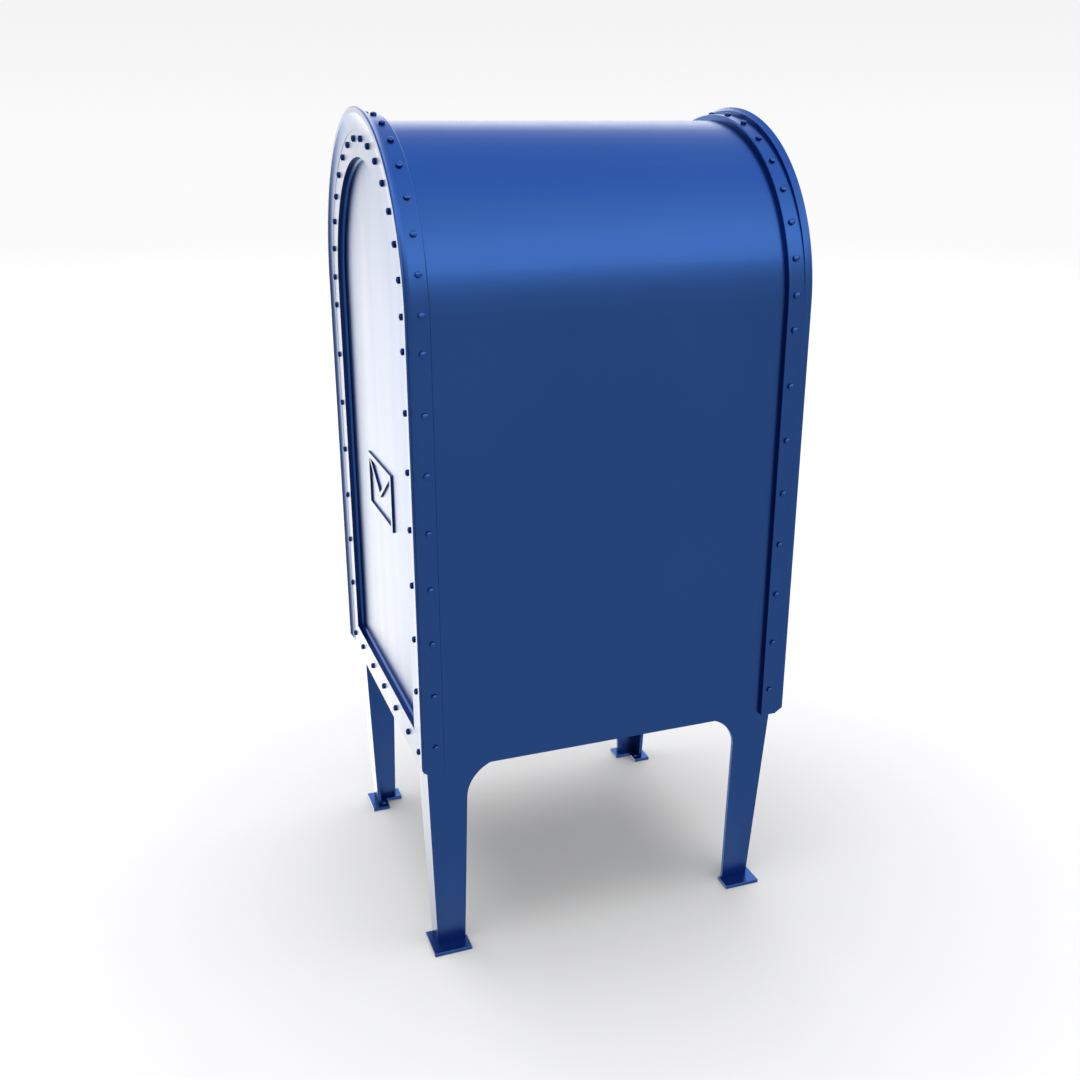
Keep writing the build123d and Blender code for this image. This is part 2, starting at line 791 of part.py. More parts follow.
def make_stops():
    """Stop pins through the cheeks, each with a rubber bumper sleeve."""
    stop_y, stop_z = stop_pin_place()
    cheek_inner = deposit_half - door_gap - cheek_clear - sheet
    reach = deposit_half + 18
    with BuildPart() as pins:
        for side in sides.values():
            start = Plane(origin=(side * (cheek_inner - 3), stop_y, stop_z), z_dir=(side, 0, 0))
            with BuildSketch(start):
                Circle(stop_pin_radius)
            extrude(amount=reach - cheek_inner + 3)
            with BuildSketch(start):
                Circle(stop_pin_radius + 3)
            extrude(amount=3)
    save(pins, "stop_pins")
    with BuildPart() as bumpers:
        for side in sides.values():
            start = Plane(origin=(side * (deposit_half + 3), stop_y, stop_z), z_dir=(side, 0, 0))
            with BuildSketch(start):
                Circle(bumper_radius)
                Circle(stop_pin_radius, mode=Mode.SUBTRACT)
            extrude(amount=15)
    save(bumpers, "stop_bumpers")


def make_deposit_fittings():
    """Hinge and pull handle of the deposit door."""
    length = deposit_hinge_length
    below = Plane(origin=deposit_hinge_plane.origin, x_dir=(-1, 0, 0), z_dir=(0, -1, 0))
    door_leaf = hinge_leaf(deposit_hinge_plane, length, deposit_knuckles, 0, -pin_offset)
    body_leaf = hinge_leaf(below, length, deposit_knuckles, 1, -pin_offset)
    save(door_leaf, "deposit_door_leaf")
    save(body_leaf, "deposit_body_leaf")
    save(hinge_pin(deposit_hinge_plane, length), "deposit_hinge_pin")
    y, z = arch_point(wrap_radius, 180 - deposit_handle_angle)
    outward = Vector(0, y, z - spring_line)
    place = Plane(origin=(0, y, z), x_dir=(1, 0, 0), z_dir=outward)
    save(bar_handle(place, *deposit_handle_size), "deposit_handle")


# ---------------------------------------------------------------- hood and baffle
def make_hood():
    """Rain hood over the deposit door: a curved flange on the arch and a straight brow."""
    low = 180 - hood_low_angle
    high = 180 - hood_high_angle
    middle = (low + high) / 2
    outer = wrap_radius + hood_thick
    brow_root = wrap_radius - 55
    with BuildPart() as hood:
        with BuildSketch(Plane.YZ):
            with BuildLine():
                ThreePointArc(*[arch_point(brow_root, angle) for angle in (low, middle, high)])
                Line(arch_point(brow_root, high), arch_point(outer, high))
                ThreePointArc(*[arch_point(outer, angle) for angle in (high, middle, low)])
                Line(arch_point(outer, low), arch_point(brow_root, low))
            make_face()
            with Locations((-(hood_reach + brow_root) / 2, hood_underside + hood_thick / 2)):
                Rectangle(hood_reach - brow_root, hood_thick)
            arch_face(wrap_radius, body_bottom, Mode.SUBTRACT)
        extrude(amount=hood_half, both=True)
    save(hood, "rain_hood")


def make_baffle():
    """Sheet hanging inside the arch, behind the hopper, that stops reaching in."""
    with BuildPart() as baffle:
        top_angle = 180 - degrees(acos(-baffle_y / wrap_inner))
        with BuildSketch(Plane.YZ):
            with BuildLine():
                high = top_angle - 8
                middle = (top_angle + high) / 2
                inner = wrap_inner - sheet
                ThreePointArc(*[arch_point(wrap_inner, angle) for angle in (top_angle, middle, high)])
                Line(arch_point(wrap_inner, high), arch_point(inner, high))
                ThreePointArc(*[arch_point(inner, angle) for angle in (high, middle, top_angle)])
                Line(arch_point(inner, top_angle), arch_point(wrap_inner, top_angle))
            make_face()
            with BuildLine():
                top_y, top_z = arch_point(wrap_inner - sheet / 2, top_angle)
                Polyline(
                    (top_y, top_z),
                    (top_y, baffle_bottom),
                    (top_y + 30, baffle_bottom - 45),
                    (top_y + 30 + sheet, baffle_bottom - 45),
                    (top_y + sheet, baffle_bottom),
                    (top_y + sheet, top_z),
                    close=True,
                )
            make_face()
        extrude(amount=baffle_half, both=True)
    save(baffle, "throat_baffle")


# ---------------------------------------------------------------- collection door
front = Plane(origin=(0, 0, 0), x_dir=(1, 0, 0), z_dir=(0, -1, 0))


def make_collection_door():
    """Flat door panel, its inner stiffening frame and its rubber seal."""
    height = collect_height
    with BuildPart() as door:
        with BuildSketch(front.offset(collect_inside)):
            with Locations((0, collect_middle)):
                RectangleRounded(2 * collect_door_half, height, 10)
            with Locations((lock_x, collect_middle)):
                Circle(lock_barrel_radius + 0.05, mode=Mode.SUBTRACT)
        extrude(amount=collect_door_thick)
        chamfer(door.faces().sort_by(Axis.Y)[0].outer_wire().edges(), 0.8)
    save(door, "collection_door")

    stiff_height = collect_top - collect_bottom - 2 * (collect_half - stiffener_half)
    with BuildPart() as stiffener:
        with BuildSketch(front.offset(collect_inside - sheet)):
            with Locations((0, collect_middle)):
                RectangleRounded(2 * stiffener_half, stiff_height, 6)
                Rectangle(
                    2 * (stiffener_half - stiffener_width),
                    stiff_height - 2 * stiffener_width,
                    mode=Mode.SUBTRACT,
                )
        extrude(amount=sheet)
        with BuildSketch(front.offset(collect_inside - stiffener_depth)):
            with Locations((0, collect_middle)):
                RectangleRounded(2 * stiffener_half, stiff_height, 6)
                RectangleRounded(
                    2 * (stiffener_half - sheet), stiff_height - 2 * sheet, 4, mode=Mode.SUBTRACT
                )
        extrude(amount=stiffener_depth)
    save(stiffener, "door_stiffener")

    opening_width = 2 * collect_half
    opening_height = collect_top - collect_bottom
    with BuildPart() as gasket:
        with BuildSketch(front.offset(collect_inside - gasket_thick)):
            with Locations((0, collect_middle)):
                RectangleRounded(opening_width + 2 * gasket_lap, opening_height + 2 * gasket_lap, 12)
                RectangleRounded(
                    opening_width + 2 * gasket_set_back,
                    opening_height + 2 * gasket_set_back,
                    8,
                    mode=Mode.SUBTRACT,
                )
        extrude(amount=gasket_thick)
    save(gasket, "door_gasket")


def make_collection_fittings():
    """Long hinge on the door's left edge and a grip on its right half."""
    origin = (-collect_door_half - pin_offset, pin_y, collect_middle)
    door_side = Plane(origin=origin, x_dir=(0, 0, -1), z_dir=(0, -1, 0))
    body_side = Plane(origin=origin, x_dir=(0, 0, 1), z_dir=(0, -1, 0))
    length = collect_height
    door_seat = collect_outside - wrap_radius - pin_offset
    save(hinge_leaf(door_side, length, 9, 0, door_seat), "collection_door_leaf")
    save(hinge_leaf(body_side, length, 9, 1, -pin_offset), "collection_body_leaf")
    save(hinge_pin(body_side, length), "collection_hinge_pin")
    grip_origin = (grip_x, -collect_outside, collect_middle - grip_drop)
    grip_place = Plane(origin=grip_origin, x_dir=(0, 0, 1), z_dir=(0, -1, 0))
    save(bar_handle(grip_place, *grip_size), "door_grip")


def make_schedule_holder():
    """Blank card in a thin frame on the collection door."""
    place = front.offset(collect_outside)
    window_width = card_frame_width - 2 * card_frame_rim
    window_height = card_frame_height - 2 * card_frame_rim
    slot_width = card_frame_width - 2 * card_slot_rim
    slot_height = card_frame_height - 2 * card_slot_rim
    with BuildPart() as frame:
        with BuildSketch(place):
            with Locations((0, card_middle)):
                RectangleRounded(card_frame_width, card_frame_height, 5)
        extrude(amount=card_frame_thick)
        with BuildSketch(place.offset(card_frame_thick)):
            with Locations((0, card_middle)):
                RectangleRounded(window_width, window_height, 2)
        extrude(amount=-card_frame_thick / 2, mode=Mode.SUBTRACT)
        with BuildSketch(place.offset(card_frame_thick / 2)):
            with Locations((0, card_middle)):
                Rectangle(slot_width, slot_height)
        extrude(amount=-card_frame_thick / 2, mode=Mode.SUBTRACT)
        chamfer(frame.faces().sort_by(Axis.Y)[0].outer_wire().edges(), 1)
    save(frame, "schedule_frame")
    with BuildPart() as card:
        with BuildSketch(place.offset(0.3)):
            with Locations((0, card_middle)):
                RectangleRounded(slot_width - 2, slot_height - 2, 2)
        extrude(amount=1.4)
    save(card, "schedule_card")


def make_lock():
    """Barrel lock: fixed barrel and nut, turning plug with its cam, and the strike on the body."""
    lock_front = front.offset(collect_outside)
    barrel_length = collect_door_thick + 11
    with BuildPart() as barrel:
        with BuildSketch(lock_front):
            with Locations((lock_x, collect_middle)):
                Circle(lock_flange_radius)
        extrude(amount=3)
        fillet(barrel.faces().sort_by(Axis.Y)[0].edges(), 1.2)
        with BuildSketch(lock_front):
            with Locations((lock_x, collect_middle)):
                Circle(lock_barrel_radius)
        extrude(amount=-barrel_length)
        with BuildSketch(lock_front.offset(5)):
            with Locations((lock_x, collect_middle)):
                Circle(plug_bore_radius)
        extrude(amount=-barrel_length - 10, mode=Mode.SUBTRACT)
    save(barrel, "lock_barrel")

    with BuildPart() as nut:
        with BuildSketch(front.offset(collect_inside)):
            with Locations((lock_x, collect_middle)):
                RegularPolygon(lock_flange_radius, 6)
                Circle(lock_barrel_radius, mode=Mode.SUBTRACT)
        extrude(amount=-nut_thick)
    save(nut, "lock_barrel_nut")

    plug_face = collect_outside + 3.4
    cam_face = collect_outside - barrel_length - 0.3
    with BuildPart() as plug:
        with BuildSketch(front.offset(cam_face)):
            with Locations((lock_x, collect_middle)):
                Circle(plug_radius)
        extrude(amount=plug_face - cam_face)
        with BuildSketch(front.offset(cam_face)):
            with Locations((lock_x, collect_middle)):
                Circle(cam_stud_radius)
        extrude(amount=-cam_thick - nut_thick)
        with BuildSketch(front.offset(plug_face)):
            with Locations((lock_x, collect_middle)):
                Rectangle(1.2, 7)
        extrude(amount=-4, mode=Mode.SUBTRACT)
    save(plug, "lock_plug")

    with BuildPart() as cam:
        with BuildSketch(front.offset(cam_face)):
            with Locations((lock_x, collect_middle)):
                Circle(cam_width / 2)
            with Locations((lock_x, collect_middle + cam_length / 2)):
                Rectangle(cam_width, cam_length)
            with Locations((lock_x, collect_middle)):
                Circle(cam_stud_radius, mode=Mode.SUBTRACT)
        extrude(amount=-cam_thick)
    save(cam, "lock_cam")

    with BuildPart() as cam_nut:
        with BuildSketch(front.offset(cam_face - cam_thick)):
            with Locations((lock_x, collect_middle)):
                RegularPolygon(plug_radius + 1, 6)
                Circle(cam_stud_radius, mode=Mode.SUBTRACT)
        extrude(amount=1 - nut_thick)
    save(cam_nut, "lock_cam_nut")

    with BuildPart() as strike:
        with BuildSketch(front.offset(wrap_inner)):
            with Locations((strike_x, collect_middle)):
                RectangleRounded(strike_width, strike_height, 3)
        extrude(amount=-sheet)
    save(strike, "strike_plate")


# ---------------------------------------------------------------- build everything
make_wrap()
for name, sign in sides.items():
    make_side_panel(name, sign)
    make_edge_strip(name, sign)
    make_rim(name, sign)
    make_corner_angle(name, sign)
    make_seam_rivets(name, sign)
    make_cheek(name, sign)
make_floor()
make_legs()
make_deposit_door()
make_deposit_tray()
make_stops()
make_deposit_fittings()
make_hood()
make_baffle()
make_collection_door()
make_collection_fittings()
make_schedule_holder()
make_lock()
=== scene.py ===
"""Looks for a street collection mailbox: blue enamel paint, bare metal, studio floor, light and camera."""

import json
import math

import bpy
from mathutils import Matrix, Vector


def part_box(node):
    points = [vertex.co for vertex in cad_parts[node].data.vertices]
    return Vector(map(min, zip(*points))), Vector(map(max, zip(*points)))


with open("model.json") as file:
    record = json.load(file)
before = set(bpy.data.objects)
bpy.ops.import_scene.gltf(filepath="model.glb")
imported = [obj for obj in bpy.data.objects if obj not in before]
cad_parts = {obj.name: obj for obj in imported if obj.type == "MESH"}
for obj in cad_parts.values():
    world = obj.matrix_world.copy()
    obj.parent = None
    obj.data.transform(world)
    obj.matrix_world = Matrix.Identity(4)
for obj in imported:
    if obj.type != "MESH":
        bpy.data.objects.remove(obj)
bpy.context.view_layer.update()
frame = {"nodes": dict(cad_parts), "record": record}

MM = 0.001

# Colours, as linear light.
ENAMEL_DEEP = (0.0180, 0.0550, 0.1850)
ENAMEL_LIGHT = (0.0196, 0.0580, 0.1950)
ENAMEL_WORN = (0.0900, 0.1500, 0.2900)
ENAMEL_SHEEN = (0.70, 0.70, 0.72)      # what the paint reflects at a glancing angle
DUST = (0.3000, 0.3000, 0.2900)
ZINC_DARK = (0.34, 0.36, 0.38)
ZINC_LIGHT = (0.50, 0.52, 0.54)
ZINC_STAIN = (0.27, 0.28, 0.29)
PIN_GREY = (0.5600, 0.5600, 0.5700)
PIN_TARNISH = (0.34, 0.33, 0.32)
CHROME = (0.6200, 0.6200, 0.6300)
CHROME_TARNISH = (0.55, 0.55, 0.56)
BRASS = (0.6800, 0.5000, 0.2200)
BRASS_TARNISH = (0.38, 0.26, 0.11)
RUBBER_BLACK = (0.0180, 0.0180, 0.0190)
RUBBER_BLOOM = (0.06, 0.06, 0.062)
CARD_WHITE = (0.3300, 0.3260, 0.3080)
CARD_GREY = (0.290, 0.286, 0.268)
CARD_INK = (0.0200, 0.0350, 0.0800)

# How fine each pattern is, in repeats per metre. Three values are for x, y and z.
PAINT_CLOUDS = 3.5
PAINT_STREAKS = (28.0, 28.0, 1.6)
PAINT_GRAIN = 420.0
ORANGE_PEEL = 260.0
ZINC_CRYSTALS = 110.0
ZINC_CLOUDS = 14.0
PIN_LINES = (60.0, 2500.0, 2500.0)
LOCK_LINES = (1500.0, 60.0, 1500.0)
TARNISH_SPOTS = 70.0
RUBBER_PEBBLES = 900.0
RUBBER_CLOUDS = 40.0
CARD_FIBRES = 700.0

# The part of a noise pattern that is used: none of the effect at the first value, all of it at the second.
NOISE_WIDE = (0.25, 0.75)
NOISE_MIDDLE = (0.30, 0.70)
NOISE_UPPER = (0.35, 0.75)
NOISE_HIGH = (0.40, 0.75)
NOISE_TOP = (0.45, 0.75)
NOISE_GRAIN = (0.42, 0.62)

# The paint.
SOFT_EDGE = 0.6 * MM                   # sharp sheet edges look rounded by this much
WORN_EDGE = 1.2 * MM                   # paint this near an edge can be rubbed
EDGE_LEAN = (1.0, 0.80)                # a normal that leans this far counts as fully on an edge
WORN_ROUGHER = 0.15
SPLASH_HEIGHT = 0.22                   # dust reaches this high above the ground, in metres
MOST_DUST = 0.05
PEEL_DEPTH = 0.2 * MM

# The card's printed form, as shares of the card's width and height.
CARD_ROWS = 9.0
RULE_SHARE = 0.10                      # of one row's height
COLUMN_AT = 0.38
COLUMN_HALF = 0.006
PRINT_HALF = 0.44
ROWS_TOP = 0.78
HEADER_FOOT = 0.80
HEADER_TOP = 0.93
INK_STRENGTH = 0.85


# ---------------------------------------------------------------- node helpers
class Shader:
    """A small helper that adds and joins shader nodes in one material or world."""

    def __init__(self, owner):
        owner.use_nodes = True
        self.tree = owner.node_tree
        self.tree.nodes.clear()

    def add(self, kind, **settings):
        node = self.tree.nodes.new(kind)
        for name, value in settings.items():
            setattr(node, name, value)
        return node

    def put(self, socket, value):
        """Joins value to socket if it is another node's output, and sets it if it is a plain value."""
        if isinstance(value, bpy.types.NodeSocket):
            self.tree.links.new(value, socket)
        elif isinstance(value, tuple) and len(value) == 3 and socket.type == "RGBA":
            socket.default_value = (*value, 1.0)
        else:
            socket.default_value = value

    def place(self):
        """The point being shaded, in metres in the object's frame."""
        return self.add("ShaderNodeTexCoord").outputs["Object"]

    def scaled(self, vector, scale):
        node = self.add("ShaderNodeVectorMath", operation="MULTIPLY")
        self.put(node.inputs[0], vector)
        self.put(node.inputs[1], scale)
        return node.outputs[0]

    def noise(self, vector, scale, detail):
        node = self.add("ShaderNodeTexNoise")
        self.put(node.inputs["Vector"], vector)
        node.inputs["Scale"].default_value = scale
        node.inputs["Detail"].default_value = detail
        node.inputs["Roughness"].default_value = 0.5
        return node.outputs["Fac"]

    def math(self, operation, a, b=0.0, clamp=False):
        node = self.add("ShaderNodeMath", operation=operation, use_clamp=clamp)
        self.put(node.inputs[0], a)
        self.put(node.inputs[1], b)
        return node.outputs[0]

    def times(self, a, b):
        return self.math("MULTIPLY", a, b)

    def near(self, value, middle, reach):
        """1 where value is less than reach away from middle, and 0 elsewhere."""
        away = self.math("ABSOLUTE", self.math("SUBTRACT", value, middle))
        return self.math("LESS_THAN", away, reach)

    def span(self, value, source, target=(0.0, 1.0), smooth=False):
        """Maps value from the source pair on to the target pair, and holds it at both ends."""
        node = self.add("ShaderNodeMapRange", clamp=True)
        if smooth:
            node.interpolation_type = "SMOOTHSTEP"
        self.put(node.inputs["Value"], value)
        node.inputs["From Min"].default_value = source[0]
        node.inputs["From Max"].default_value = source[1]
        node.inputs["To Min"].default_value = target[0]
        node.inputs["To Max"].default_value = target[1]
        return node.outputs["Result"]

    def blend(self, kind, share, a, b):
        node = self.add("ShaderNodeMix", data_type=kind)
        self.put(node.inputs["Factor"], share)
        self.put(node.inputs["A"], a)
        self.put(node.inputs["B"], b)
        return node.outputs["Result"]

    def mix(self, share, a, b):
        """Colour a where share is 0, colour b where it is 1."""
        return self.blend("RGBA", share, a, b)

    def lerp(self, share, a, b):
        """Number a where share is 0, number b where it is 1."""
        return self.blend("FLOAT", share, a, b)

    def split(self, vector):
        node = self.add("ShaderNodeSeparateXYZ")
        self.put(node.inputs[0], vector)
        return node.outputs

    def rounded_normal(self, radius, samples):
        bevel = self.add("ShaderNodeBevel", samples=samples)
        bevel.inputs["Radius"].default_value = radius
        return bevel.outputs["Normal"]

    def edge_mask(self, radius):
        """0 on flat faces and up to 1 on a sharp edge: how far a rounded normal leans from the true one."""
        geometry = self.add("ShaderNodeNewGeometry")
        dot = self.add("ShaderNodeVectorMath", operation="DOT_PRODUCT")
        self.put(dot.inputs[0], self.rounded_normal(radius, samples=6))
        self.put(dot.inputs[1], geometry.outputs["Normal"])
        return self.span(dot.outputs["Value"], EDGE_LEAN)

    def bump(self, height, strength, distance, normal=None):
        node = self.add("ShaderNodeBump")
        node.inputs["Strength"].default_value = strength
        node.inputs["Distance"].default_value = distance
        self.put(node.inputs["Height"], height)
        if normal is not None:
            self.put(node.inputs["Normal"], normal)
        return node.outputs["Normal"]

    def finish(self, kind, surface):
        """Joins the last shader to the output, whose kind is Material or World."""
        output = self.add("ShaderNodeOutput" + kind)
        self.put(output.inputs["Surface"], surface)

    def principled(self, **inputs):
        """The finished surface: a Principled shader joined to the output."""
        shader = self.add("ShaderNodeBsdfPrincipled")
        for name, value in inputs.items():
            self.put(shader.inputs[name.replace("_", " ")], value)
        self.finish("Material", shader.outputs[0])


def new_shader(name):
    material = bpy.data.materials.new(name)
    return material, Shader(material)


# ---------------------------------------------------------------- materials
def enamel_paint(name, wear, roughness):
    """Blue enamel sprayed over steel: a faint orange peel, rain streaks, dust low down and rubbed edges."""
    material, s = new_shader(name)
    place = s.place()
    clouds = s.noise(place, PAINT_CLOUDS, detail=4.0)
    streaks = s.noise(s.scaled(place, PAINT_STREAKS), scale=1.0, detail=5.0)
    grain = s.noise(place, PAINT_GRAIN, detail=2.0)
    peel = s.noise(place, ORANGE_PEEL, detail=1.5)

    tone = s.mix(s.span(clouds, NOISE_MIDDLE), ENAMEL_DEEP, ENAMEL_LIGHT)
    splash = s.span(s.split(place)[2], (SPLASH_HEIGHT, 0.0), smooth=True)
    dust = s.times(splash, s.span(streaks, NOISE_UPPER, (0.0, MOST_DUST)))
    dusty = s.mix(dust, tone, DUST)
    rubbed = s.math("MULTIPLY", s.edge_mask(WORN_EDGE), s.span(grain, NOISE_GRAIN), clamp=True)
    rubbed = s.times(rubbed, wear)

    gloss = s.span(streaks, NOISE_WIDE, (roughness - 0.01, roughness + 0.02))
    gloss = s.math("ADD", gloss, s.times(rubbed, WORN_ROUGHER))
    soft_normal = s.rounded_normal(SOFT_EDGE, samples=4)
    s.principled(
        Base_Color=s.mix(rubbed, dusty, ENAMEL_WORN),
        Metallic=1.0,
        Specular_Tint=ENAMEL_SHEEN,
        Roughness=gloss,
        Normal=s.bump(peel, strength=0.05, distance=PEEL_DEPTH, normal=soft_normal),
    )
    return material


def galvanised_steel():
    """Hot-dipped zinc: flat crystals of slightly different grey and shine."""
    material, s = new_shader("galvanised_steel")
    place = s.place()
    spangle = s.add("ShaderNodeTexVoronoi")
    s.put(spangle.inputs["Vector"], place)
    spangle.inputs["Scale"].default_value = ZINC_CRYSTALS
    crystal = s.split(spangle.outputs["Color"])[0]
    clouds = s.noise(place, ZINC_CLOUDS, detail=5.0)
    shade = s.mix(crystal, ZINC_DARK, ZINC_LIGHT)
    shade = s.mix(s.span(clouds, NOISE_UPPER, (0.0, 0.35)), shade, ZINC_STAIN)
    s.principled(
        Base_Color=shade,
        Metallic=0.9,
        Roughness=s.span(crystal, (0.0, 1.0), (0.34, 0.52)),
        Normal=s.bump(crystal, strength=0.08, distance=0.1 * MM),
    )
    return material


def turned_metal(name, colour, tarnished, roughness, line_scale):
    """Plated or turned metal with fine tool lines and a little tarnish."""
    material, s = new_shader(name)
    place = s.place()
    lines = s.noise(s.scaled(place, line_scale), scale=1.0, detail=3.0)
    tarnish = s.noise(place, TARNISH_SPOTS, detail=5.0)
    s.principled(
        Base_Color=s.mix(s.span(tarnish, NOISE_HIGH, (0.0, 0.6)), colour, tarnished),
        Metallic=1.0,
        Roughness=s.span(lines, NOISE_MIDDLE, (roughness - 0.06, roughness + 0.08)),
        Normal=s.bump(lines, strength=0.10, distance=0.05 * MM),
    )
    return material


def moulded_rubber():
    """Black rubber with a pebbled skin and a grey bloom."""
    material, s = new_shader("rubber")
    place = s.place()
    pebble = s.noise(place, RUBBER_PEBBLES, detail=2.0)
    clouds = s.noise(place, RUBBER_CLOUDS, detail=5.0)
    s.principled(
        Base_Color=s.mix(s.span(clouds, NOISE_TOP, (0.0, 0.5)), RUBBER_BLACK, RUBBER_BLOOM),
        Roughness=s.span(clouds, NOISE_MIDDLE, (0.62, 0.80)),
        Normal=s.bump(pebble, strength=0.35, distance=0.15 * MM),
    )
    return material


def ruled_card():
    """A blank printed form: off-white card with plain ruled lines and a header band, and no words."""
    material, s = new_shader("card")
    place = s.place()
    fibre = s.noise(place, CARD_FIBRES, detail=3.0)
    low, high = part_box("schedule_card")
    x, _, z = s.split(place)
    across = s.span(x, (low.x, high.x))
    up = s.span(z, (low.z, high.z))

    rule = s.math("LESS_THAN", s.math("FRACT", s.times(up, CARD_ROWS)), RULE_SHARE)
    column = s.near(across, COLUMN_AT, COLUMN_HALF)
    rows = s.times(s.math("MAXIMUM", rule, column), s.math("LESS_THAN", up, ROWS_TOP))
    header = s.times(s.math("GREATER_THAN", up, HEADER_FOOT), s.math("LESS_THAN", up, HEADER_TOP))
    ink = s.times(s.math("MAXIMUM", rows, header), s.near(across, 0.5, PRINT_HALF))
    paper = s.mix(s.span(fibre, NOISE_MIDDLE), CARD_WHITE, CARD_GREY)
    s.principled(
        Base_Color=s.mix(s.times(ink, INK_STRENGTH), paper, CARD_INK),
        Roughness=0.55,
        Normal=s.bump(fibre, strength=0.15, distance=0.05 * MM),
    )
    return material


def dress_nodes():
    """Gives each CAD node the material of its slot in the record."""
    by_slot = {
        "body_paint": enamel_paint("body_paint", wear=0.35, roughness=0.30),
        "rivet_paint": enamel_paint("rivet_paint", wear=0.55, roughness=0.28),
        "galvanised_steel": galvanised_steel(),
        "pin_steel": turned_metal("pin_steel", PIN_GREY, PIN_TARNISH, 0.30, PIN_LINES),
        "lock_chrome": turned_metal("lock_chrome", CHROME, CHROME_TARNISH, 0.12, LOCK_LINES),
        "lock_brass": turned_metal("lock_brass", BRASS, BRASS_TARNISH, 0.26, LOCK_LINES),
        "rubber": moulded_rubber(),
        "card": ruled_card(),
    }
    for part in frame["record"]["subparts"]:
        node = frame["nodes"][part["node"]]
        node.data.materials.clear()
        node.data.materials.append(by_slot[part["material_slot"]])


# ---------------------------------------------------------------- studio
FLOOR_RADIUS = 14.0
FLOOR_SIDES = 96
FLOOR_FADE = (4.0, 13.3)               # the floor turns clear between these distances from the middle
FLOOR_SHADE = (0.253, 0.253, 0.256)
FLOOR_SPECKLE = (0.258, 0.258, 0.260)
FLOOR_SPECKLES = 6.0

# The light from each direction. A direction is a unit vector to the right, to the back and up. Each pair
# named for one of these says between which two values of it something starts and is complete.
WHITE = (1.0, 1.0, 1.0)
BAND_UP = (0.22, 0.46)                 # the band over the back brightens as it rises
BAND_LEVELS = (1.0, 3.3)
BAND_FADE_UP = (0.46, 0.86)            # and dims again overhead
BAND_FADE_LOSS = (0.0, 1.25)
WALL_TO_BACK = (0.15, -0.30)           # the lit wall beyond the front
WALL_FOOT_UP = (0.10, 0.28)
WALL_FOOT_LEVEL = 1.25
WALL_UP = (0.36, 0.62)
WALL_LEVELS = (3.7, 2.0)
SKY_TINT = (0.66, 0.82, 1.06)          # overhead is a little bluer than the rest
SKY_UP = (0.45, 0.65)
SKY_TO_BACK = (0.45, 0.10)
CARD_LIGHT = (6.50, 5.95, 4.45)        # the low warm card beyond the front
CARD_TO_BACK = (-0.72, -0.90)
CARD_TO_RIGHT = (-0.22, -0.02)
CARD_UP = (0.20, 0.06)
CARD_DIM_UP = (-0.14, -0.01)           # it dims a little towards its top
CARD_DIM_LEVELS = (1.0, 0.74)
CARD_GLOW_UP = (-0.50, -0.14)          # and brightens a little towards its foot
CARD_GLOW_LEVELS = (1.15, 1.0)
WING_LIGHT = (0.60, 0.62, 0.68)        # the dim wing at the right
WING_TO_RIGHT = (0.42, 0.66)
WING_TO_BACK = (0.20, -0.20)
BACKDROP_UP = (-0.02, 0.12)            # what the camera sees behind the object
BACKDROP_LEVELS = (0.97, 0.88)

LAMP_POWER = 5.9
LAMP_SPREAD = math.radians(58.0)
LAMP_LEAN = (math.radians(8.0), math.radians(4.0), 0.0)

CAMERA_AZIMUTH = math.radians(160.16)
CAMERA_ELEVATION = math.radians(19.28)
CAMERA_ROLL = math.radians(-0.10)
CAMERA_DISTANCE = 1.9827
CAMERA_TARGET = (0.0201, 0.0, 0.5825)
SENSOR_WIDTH_MM = 36.0
LENS_MM = 39.37


def studio_floor():
    """A pale disc that fades out far away, so that it has no visible edge."""
    mesh = bpy.data.meshes.new("studio_floor")
    ring = []
    for side in range(FLOOR_SIDES):
        angle = 2 * math.pi * side / FLOOR_SIDES
        ring.append((FLOOR_RADIUS * math.cos(angle), FLOOR_RADIUS * math.sin(angle), 0.0))
    mesh.from_pydata(ring, [], [list(range(FLOOR_SIDES))])
    floor = bpy.data.objects.new("studio_floor", mesh)
    floor.visible_glossy = False
    bpy.context.scene.collection.objects.link(floor)

    material, s = new_shader("studio_floor")
    place = s.place()
    distance = s.add("ShaderNodeVectorMath", operation="LENGTH")
    s.put(distance.inputs[0], place)
    speckle = s.noise(place, FLOOR_SPECKLES, detail=3.0)
    ground = s.add("ShaderNodeBsdfDiffuse")
    s.put(ground.inputs["Color"], s.mix(speckle, FLOOR_SHADE, FLOOR_SPECKLE))
    faded = s.add("ShaderNodeMixShader")
    s.put(faded.inputs[0], s.span(distance.outputs["Value"], FLOOR_FADE, smooth=True))
    s.put(faded.inputs[1], ground.outputs[0])
    s.put(faded.inputs[2], s.add("ShaderNodeBsdfTransparent").outputs[0])
    s.finish("Material", faded.outputs[0])
    mesh.materials.append(material)


def band_and_wall(s, to_back, up):
    """The main light's level: a bright band over the back, and a lit wall beyond the front."""
    rise = s.span(up, BAND_UP, BAND_LEVELS, smooth=True)
    band = s.math("SUBTRACT", rise, s.span(up, BAND_FADE_UP, BAND_FADE_LOSS))
    upper_wall = s.span(up, WALL_UP, WALL_LEVELS, smooth=True)
    wall = s.lerp(s.span(up, WALL_FOOT_UP), WALL_FOOT_LEVEL, upper_wall)
    return s.lerp(s.span(to_back, WALL_TO_BACK, smooth=True), band, wall)


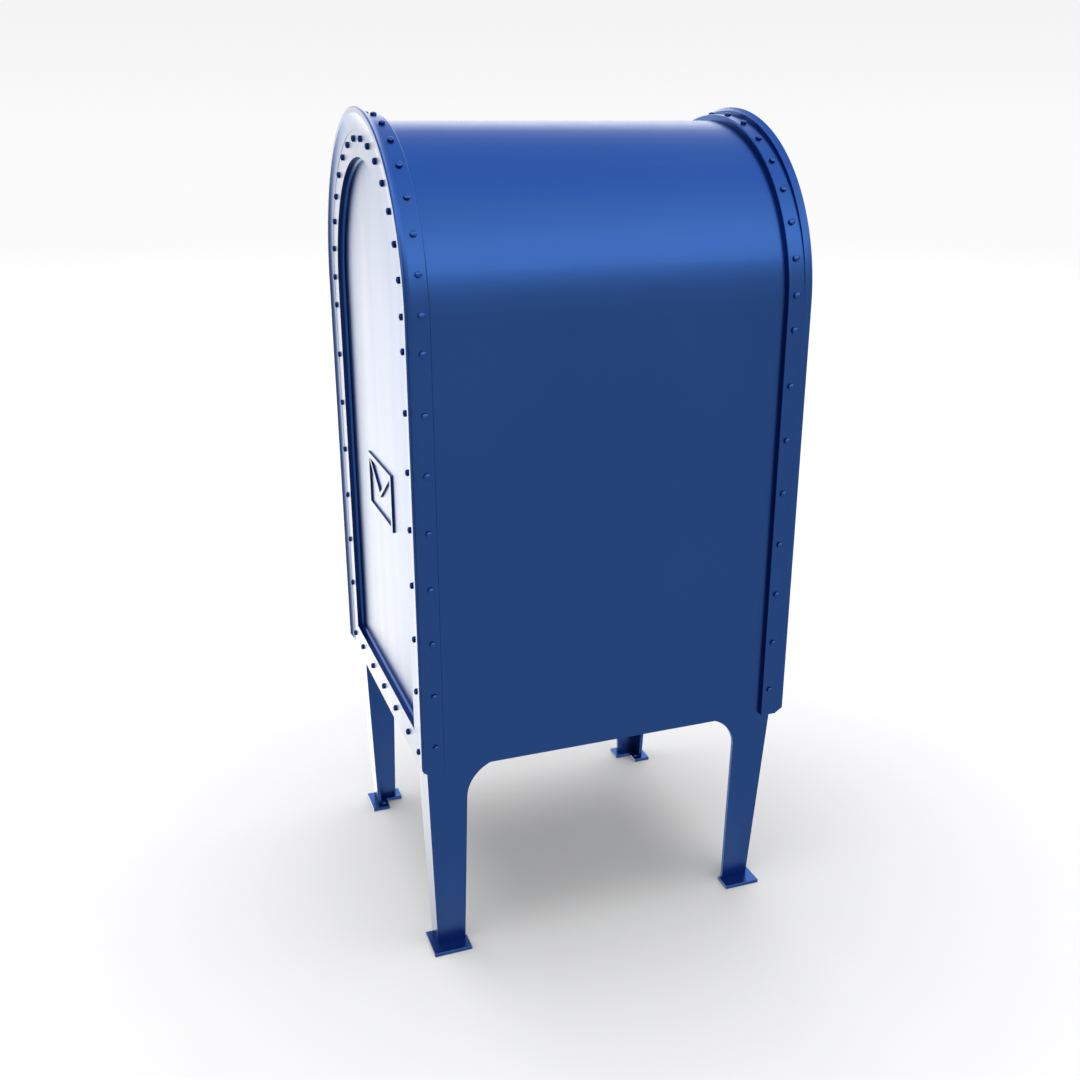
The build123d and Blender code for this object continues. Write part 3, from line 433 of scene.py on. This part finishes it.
def studio_world():
    """Soft light from all round, built up by direction.

    The tint overhead, the warm card and the wing are seen only in reflections, so the ground stays neutral.
    """
    world = bpy.data.worlds.new("studio")
    bpy.context.scene.world = world
    s = Shader(world)
    direction = s.add("ShaderNodeTexCoord").outputs["Generated"]
    to_right, to_back, up = s.split(direction)
    path = s.add("ShaderNodeLightPath")
    reflected = path.outputs["Is Glossy Ray"]

    overhead = s.times(s.span(up, SKY_UP), s.span(to_back, SKY_TO_BACK))
    tint = s.mix(s.times(overhead, reflected), WHITE, SKY_TINT)
    light = s.scaled(tint, band_and_wall(s, to_back, up))

    card = s.times(s.span(to_back, CARD_TO_BACK), s.span(up, CARD_UP, smooth=True))
    card = s.times(card, s.span(to_right, CARD_TO_RIGHT, smooth=True))
    dim = s.span(up, CARD_DIM_UP, CARD_DIM_LEVELS)
    glow = s.span(up, CARD_GLOW_UP, CARD_GLOW_LEVELS)
    light = s.mix(s.times(card, reflected), light, s.scaled(CARD_LIGHT, s.times(dim, glow)))

    wing = s.times(s.span(to_right, WING_TO_RIGHT, smooth=True), s.span(to_back, WING_TO_BACK))
    light = s.mix(s.times(wing, reflected), light, WING_LIGHT)

    backdrop = s.span(up, BACKDROP_UP, BACKDROP_LEVELS)
    background = s.add("ShaderNodeBackground")
    s.put(background.inputs["Color"], s.mix(path.outputs["Is Camera Ray"], light, backdrop))
    s.finish("World", background.outputs[0])


def overhead_light():
    """A very wide overhead lamp that lights the ground, so that the box's soft shadow falls under it."""
    lamp = bpy.data.lights.new("overhead", "SUN")
    lamp.energy = LAMP_POWER
    lamp.angle = LAMP_SPREAD
    light = bpy.data.objects.new("overhead", lamp)
    light.rotation_euler = LAMP_LEAN
    light.visible_glossy = False
    bpy.context.scene.collection.objects.link(light)


def studio_camera():
    """Looks at the back and the right end panel from a little above."""
    level = math.cos(CAMERA_ELEVATION)
    towards_camera = Vector(
        (
            level * math.sin(CAMERA_AZIMUTH),
            -level * math.cos(CAMERA_AZIMUTH),
            math.sin(CAMERA_ELEVATION),
        )
    )
    data = bpy.data.cameras.new("camera")
    data.sensor_width = SENSOR_WIDTH_MM
    data.lens = LENS_MM
    camera = bpy.data.objects.new("camera", data)
    position = Matrix.Translation(Vector(CAMERA_TARGET) + towards_camera * CAMERA_DISTANCE)
    turn = towards_camera.to_track_quat("Z", "Y").to_matrix().to_4x4()
    camera.matrix_world = position @ turn @ Matrix.Rotation(CAMERA_ROLL, 4, "Z")
    bpy.context.scene.collection.objects.link(camera)
    bpy.context.scene.camera = camera
    bpy.context.scene.view_settings.view_transform = "Standard"


dress_nodes()
studio_floor()
studio_world()
overhead_light()
studio_camera()
